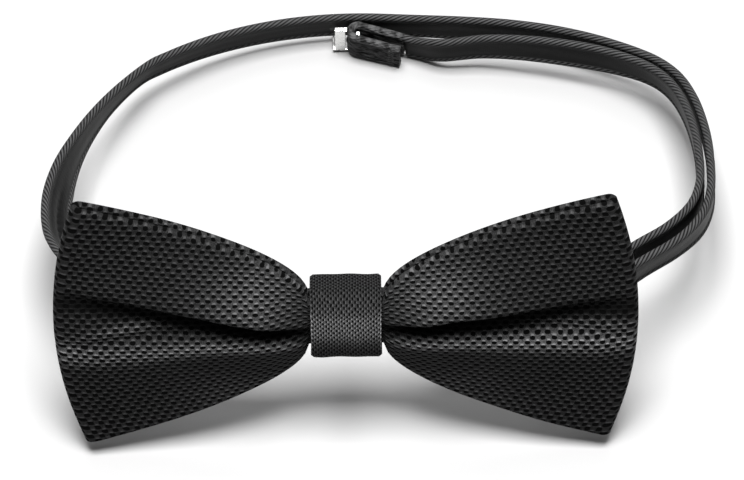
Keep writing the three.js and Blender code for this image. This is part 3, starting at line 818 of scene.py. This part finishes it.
def make_bow():
    cloth = bow_panel("bow_cloth_loop", PANEL, step=0.85, fold_steps=14, rows=62)
    hollow = cloth.modifiers.new("cloth thickness", "SOLIDIFY")
    hollow.thickness = CLOTH * MM
    hollow.offset = -1
    dress(cloth, CLOTH_LOOK, "bow_fabric", "bow", "bow_cloth")
    lining = bow_panel("bow_felt", 0.4, step=1.2, fold_steps=10, rows=44, reach=0.93)
    dress(lining, FELT_LOOK, "interlining", "bow", "bow_interlining")

    outer, height = FOLD_RADIUS + PANEL / 2, PINCH_HALF_HEIGHT - 1
    seam = [
        stitch((-1.6, outer, z), (1.6, outer, z + 0.8), (0, 0.25, 0))
        for z in np.arange(-height, height - 0.8, 1.6)
    ]
    seam = thread_tubes("bow_end_stitches", seam, 0.16)
    dress(seam, THREAD_LOOK, "thread", "bow", "bow_end_seam")

    winding = thread_tubes("bow_pinch_winding", [pinch_winding()], 0.2, sides=6)
    dress(winding, THREAD_LOOK, "thread", "bow", "bow_pinch_thread")


def pinch_winding(turns=6, steps=40):
    """A thread wound round the bow's pinch, along a rounded slab that lies just off the cloth."""
    deep = FOLD_RADIUS + PANEL / 2 + CLEARANCE + 0.2
    high = PINCH_HALF_HEIGHT + CLEARANCE + 0.2
    points = []
    for i in range(turns * steps + 1):
        a = 2 * math.pi * i / steps
        flat = max(abs(math.cos(a)), abs(math.sin(a)))
        round_share = 0.55 / flat + 0.45
        x = -1.3 + 2.6 * i / (turns * steps)
        points.append((x, deep * math.cos(a) * round_share, high * math.sin(a) * round_share))
    return points


def make_knot():
    wrap = knot_loop(
        "knot_cloth", KNOT_LENGTH, KNOT_FRONT, KNOT_BACK, KNOT_HALF_HEIGHT, KNOT_WALL, 3.2, crown=0.9
    )
    dress(wrap, KNOT_LOOK, "bow_fabric", "bow", "knot_wrap")
    inside = KNOT_WALL + CLEARANCE
    lining = knot_loop(
        "knot_felt", KNOT_LENGTH - 3, KNOT_FRONT + inside, KNOT_BACK - inside,
        KNOT_HALF_HEIGHT - inside, 0.5, 1.6, crown=0.5,
    )
    dress(lining, FELT_LOOK, "interlining", "bow", "knot_interlining")
    half = KNOT_LENGTH / 2 - 0.9
    stitches = []
    for x in np.arange(-half, half, 1.15):
        below = (x, KNOT_BACK - 0.05, CLOSING_Z - 0.8)
        above = (x + 0.55, KNOT_BACK - 0.05, CLOSING_Z + 0.8)
        stitches.append(stitch(below, above, (0, 0.2, 0)))
    dress(
        thread_tubes("knot_closing_stitches", stitches, 0.14),
        THREAD_LOOK, "thread", "bow", "knot_closing_thread",
    )


def buckle(along, across):
    """The lengthwise fold where the left side of the band turns over, with small ribs across it."""
    strength = smoothstep(66, 82, along) * (1 - smoothstep(112, 132, along))
    ribs = 1 + 0.35 * np.cos(2 * math.pi * along / 2.6)
    line = np.exp(-(((across + 0.2) / 0.55) ** 2))
    soft = 0.05 * ripple(along / 7 + across, along / 11 - across * 2)
    return soft - 0.55 * strength * ribs * line


def layered(along, across):
    return 0.06 * ripple(along / 6 + across * 1.4, along / 13 - across)


def wrinkled(along, across):
    """Lengthwise wrinkles of the sewn end."""
    return 0.32 * ripple(across * 2.6 + along / 5, across * 4.1 - along / 3 + 1) + 0.1


def make_band():
    outer_long, outer_end = split_at(outer_rows(), SPLIT_Y)
    inner_long, inner_end = split_at(return_rows(), SPLIT_Y)
    outer = strap_mesh("strap_outer", outer_long, buckle)
    dress(outer, STRAP_LOOK, "neckband_fabric", "band", "neckband")

    inner = strap_mesh("strap_return", inner_long, layered)
    dress(inner, STRAP_LOOK, "neckband_fabric", None, "neckband_return")
    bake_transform(inner)

    turn = turn_rows(HOOK_BAR, HOOK_Y, -1)
    around = outer_end + turn + inner_end[::-1]
    # Its second half runs back round the ring, where the lean's sign turns over.
    middle = len(outer_end) + len(turn)
    around = [(x, y, z, lean if i < middle else -lean) for i, (x, y, z, lean) in enumerate(around)]
    hook_turn = strap_mesh("strap_hook_turn", around, layered)
    dress(hook_turn, STRAP_LOOK, "neckband_fabric", None, "neckband_hook_loop")
    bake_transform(hook_turn)


def make_tab():
    legs = [(TAB_LENGTH, side * TURN_RADIUS, 0, 0) for side in (-1, 1)]
    rows = [legs[0], *turn_rows(0, 0, -1), legs[1]]
    tab = strap_mesh("strap_tab", rows, wrinkled, on_tab(), step=0.5)
    dress(tab, TAB_LOOK, "neckband_fabric", "slider", "neckband_tab")


def bartack(name, x, face, away, place):
    """Crossed stitches over the strap's width. face is the cloth's y, and away is 1 or -1."""
    half = STRAP_WIDTH / 2 - 1.3
    runs = []
    for z in np.arange(-half, half, 0.9):
        for lean in (0.75, -0.75):
            rise = (0, away * 0.22, 0)
            runs.append(stitch((x - lean, face, z), (x + lean, face, z + 0.9), rise))
    runs = [moved(run, place) for run in runs]
    return thread_tubes(name, runs, 0.13)


def make_stitches():
    tab = bartack("tab_bartack", TAB_LENGTH - 2, -SEWN_FACE + 0.2, -1, on_tab())
    dress(tab, THREAD_LOOK, "thread", "slider", "tab_stitches")
    eye = bartack("eye_bartack", EYE_LEFT - EYE_TAIL + 2, EYE_Y + SEWN_FACE - 0.2, 1, Matrix.Identity(4))
    dress(eye, THREAD_LOOK, "thread", "band", "eye_stitches")


def softened(name, node, width=0.16):
    """A copy of a CAD metal piece with rounded edges."""
    mesh = frame["nodes"][node].data.copy()
    shaped = bmesh.new()
    shaped.from_mesh(mesh)
    bmesh.ops.remove_doubles(shaped, verts=shaped.verts, dist=0.005 * MM)
    bmesh.ops.dissolve_limit(
        shaped, angle_limit=math.radians(2), verts=shaped.verts, edges=shaped.edges
    )
    sharp = [edge for edge in shaped.edges if len(edge.link_faces) == 2 and edge.calc_face_angle() > 0.5]
    bmesh.ops.bevel(
        shaped, geom=sharp, offset=width * MM, segments=3, profile=0.5, affect="EDGES", clamp_overlap=True
    )
    bmesh.ops.triangulate(shaped, faces=[face for face in shaped.faces if len(face.verts) > 4])
    shaped.to_mesh(mesh)
    shaped.free()
    mesh.name = name
    mesh.polygons.foreach_set("use_smooth", [False] * len(mesh.polygons))
    thing = bpy.data.objects.new(name, mesh)
    bpy.context.scene.collection.objects.link(thing)
    return thing


def rounded_bars(name, bars, place, width=0.11):
    """Metal bars given by their lowest and highest corners, as one piece with rounded edges."""
    shaped = bmesh.new()
    for low, high in bars:
        low, high = Vector(low), Vector(high)
        block = bmesh.ops.create_cube(shaped, size=1)["verts"]
        for vert in block:
            vert.co = Vector(a + (b - a) * (c + 0.5) for a, b, c in zip(low, high, vert.co))
    bmesh.ops.bevel(
        shaped, geom=shaped.edges[:], offset=width, segments=3, profile=0.5, affect="EDGES"
    )
    bmesh.ops.transform(shaped, matrix=TIE @ place, verts=shaped.verts)
    mesh = bpy.data.meshes.new(name)
    shaped.to_mesh(mesh)
    shaped.free()
    thing = bpy.data.objects.new(name, mesh)
    bpy.context.scene.collection.objects.link(thing)
    return thing


def slider_bars():
    """The slider: a plate and a bar joined by two rails inside the strap, and wires that pass under
    the strap and up behind it."""
    high = STRAP_WIDTH / 2 + WIRE_GAP
    long = SLIDER_HALF_LENGTH
    near = STRAP / 2 + WIRE_GAP
    back_top = high - 4 * WIRE
    front = (TAB_BAR - PLATE / 2, TAB_BAR + PLATE / 2)
    plate = (-long + 0.6, TAB_BAR_X - TURN_RADIUS - STRAP / 2 - CLEARANCE)
    bar = (TAB_BAR_X - PLATE / 2, TAB_BAR_X + PLATE / 2)
    bars = [
        ((plate[0], front[0], -high - WIRE), (plate[1], front[1], high + WIRE)),
        ((bar[0], front[0], -high - WIRE), (bar[1], front[1], back_top)),
        ((plate[0], front[0], high), (plate[1] + WIRE, front[1], high + WIRE)),
        ((-long, front[0], -high - WIRE), (long, front[1], -high)),
        ((-long, near, back_top - WIRE), (long, near + WIRE, back_top)),
    ]
    for x in (-long, long - WIRE):
        bars.append(((x, front[0], -high - WIRE), (x + WIRE, near + WIRE, -high)))
        bars.append(((x, near, -high - WIRE), (x + WIRE, near + WIRE, back_top)))
    return bars


def make_metal():
    slider = rounded_bars("slider_metal", slider_bars(), on_band())
    dress(slider, STEEL_LOOK, "metal", "slider", "length_slider")
    for name, node, body in (
        ("eye_metal", "band_eye", "band"),
        ("hook_metal", "band_hook", "hook"),
    ):
        dress(softened(name, node), STEEL_LOOK, "metal", body, node)


# ---- Studio --------------------------------------------------------------------------------------

VIEW_ELEVATION = 35  # above the level of the neckband
VIEW_ROLL = 0.8
VIEW_DISTANCE = 800.0  # millimetres from the knot
VIEW_FOCAL = 5.269  # focal length over sensor width
VIEW_OFFSET = Vector((-0.006633, -0.019643))  # of the knot from the view's middle, over the distance
SENSOR = 36.0


def make_camera():
    up_angle, roll = math.radians(VIEW_ELEVATION), math.radians(VIEW_ROLL)
    ahead = Vector((0, math.cos(up_angle), -math.sin(up_angle)))
    level = Vector((1, 0, 0))
    upward = level.cross(ahead)
    right = math.cos(roll) * level - math.sin(roll) * upward
    above = math.sin(roll) * level + math.cos(roll) * upward
    place = -(ahead + right * VIEW_OFFSET.x + above * VIEW_OFFSET.y) * VIEW_DISTANCE
    data = bpy.data.cameras.new("camera")
    data.sensor_width = SENSOR
    data.lens = SENSOR * VIEW_FOCAL
    data.clip_start, data.clip_end = 0.01, 20
    camera = bpy.data.objects.new("camera", data)
    bpy.context.scene.collection.objects.link(camera)
    turn = TIE.to_3x3().normalized()
    axes = Matrix((turn @ right, turn @ above, turn @ -ahead)).transposed().to_4x4()
    camera.matrix_world = Matrix.Translation(TIE @ place) @ axes
    bpy.context.scene.camera = camera


def area_light(name, place, aim, size, power):
    data = bpy.data.lights.new(name, "AREA")
    data.shape = "SQUARE"
    data.size = size
    data.energy = power
    light = bpy.data.objects.new(name, data)
    light.location = place
    light.rotation_euler = (Vector(aim) - Vector(place)).to_track_quat("-Z", "Y").to_euler()
    bpy.context.scene.collection.objects.link(light)


def make_studio():
    bpy.ops.mesh.primitive_plane_add(size=6, location=(0, 0, 0))
    floor = bpy.context.object
    floor.name = "floor"
    floor.data.materials.append(pale_paper("pale_paper"))
    world = bpy.data.worlds.new("studio")
    world.use_nodes = True
    world.node_tree.nodes["Background"].inputs["Color"].default_value = (1, 1, 1, 1)
    world.node_tree.nodes["Background"].inputs["Strength"].default_value = 0.25
    bpy.context.scene.world = world
    middle = (0, 0, 0.02)
    area_light("key", (0.0, -0.24, 1.17), middle, 0.5, 66)
    area_light("top", (0.0, 0.5, 1.1), middle, 0.8, 12)
    bpy.context.scene.view_settings.view_transform = "Standard"


make_camera()
make_bow()
make_knot()
make_band()
make_tab()
make_stitches()
make_metal()
make_studio()
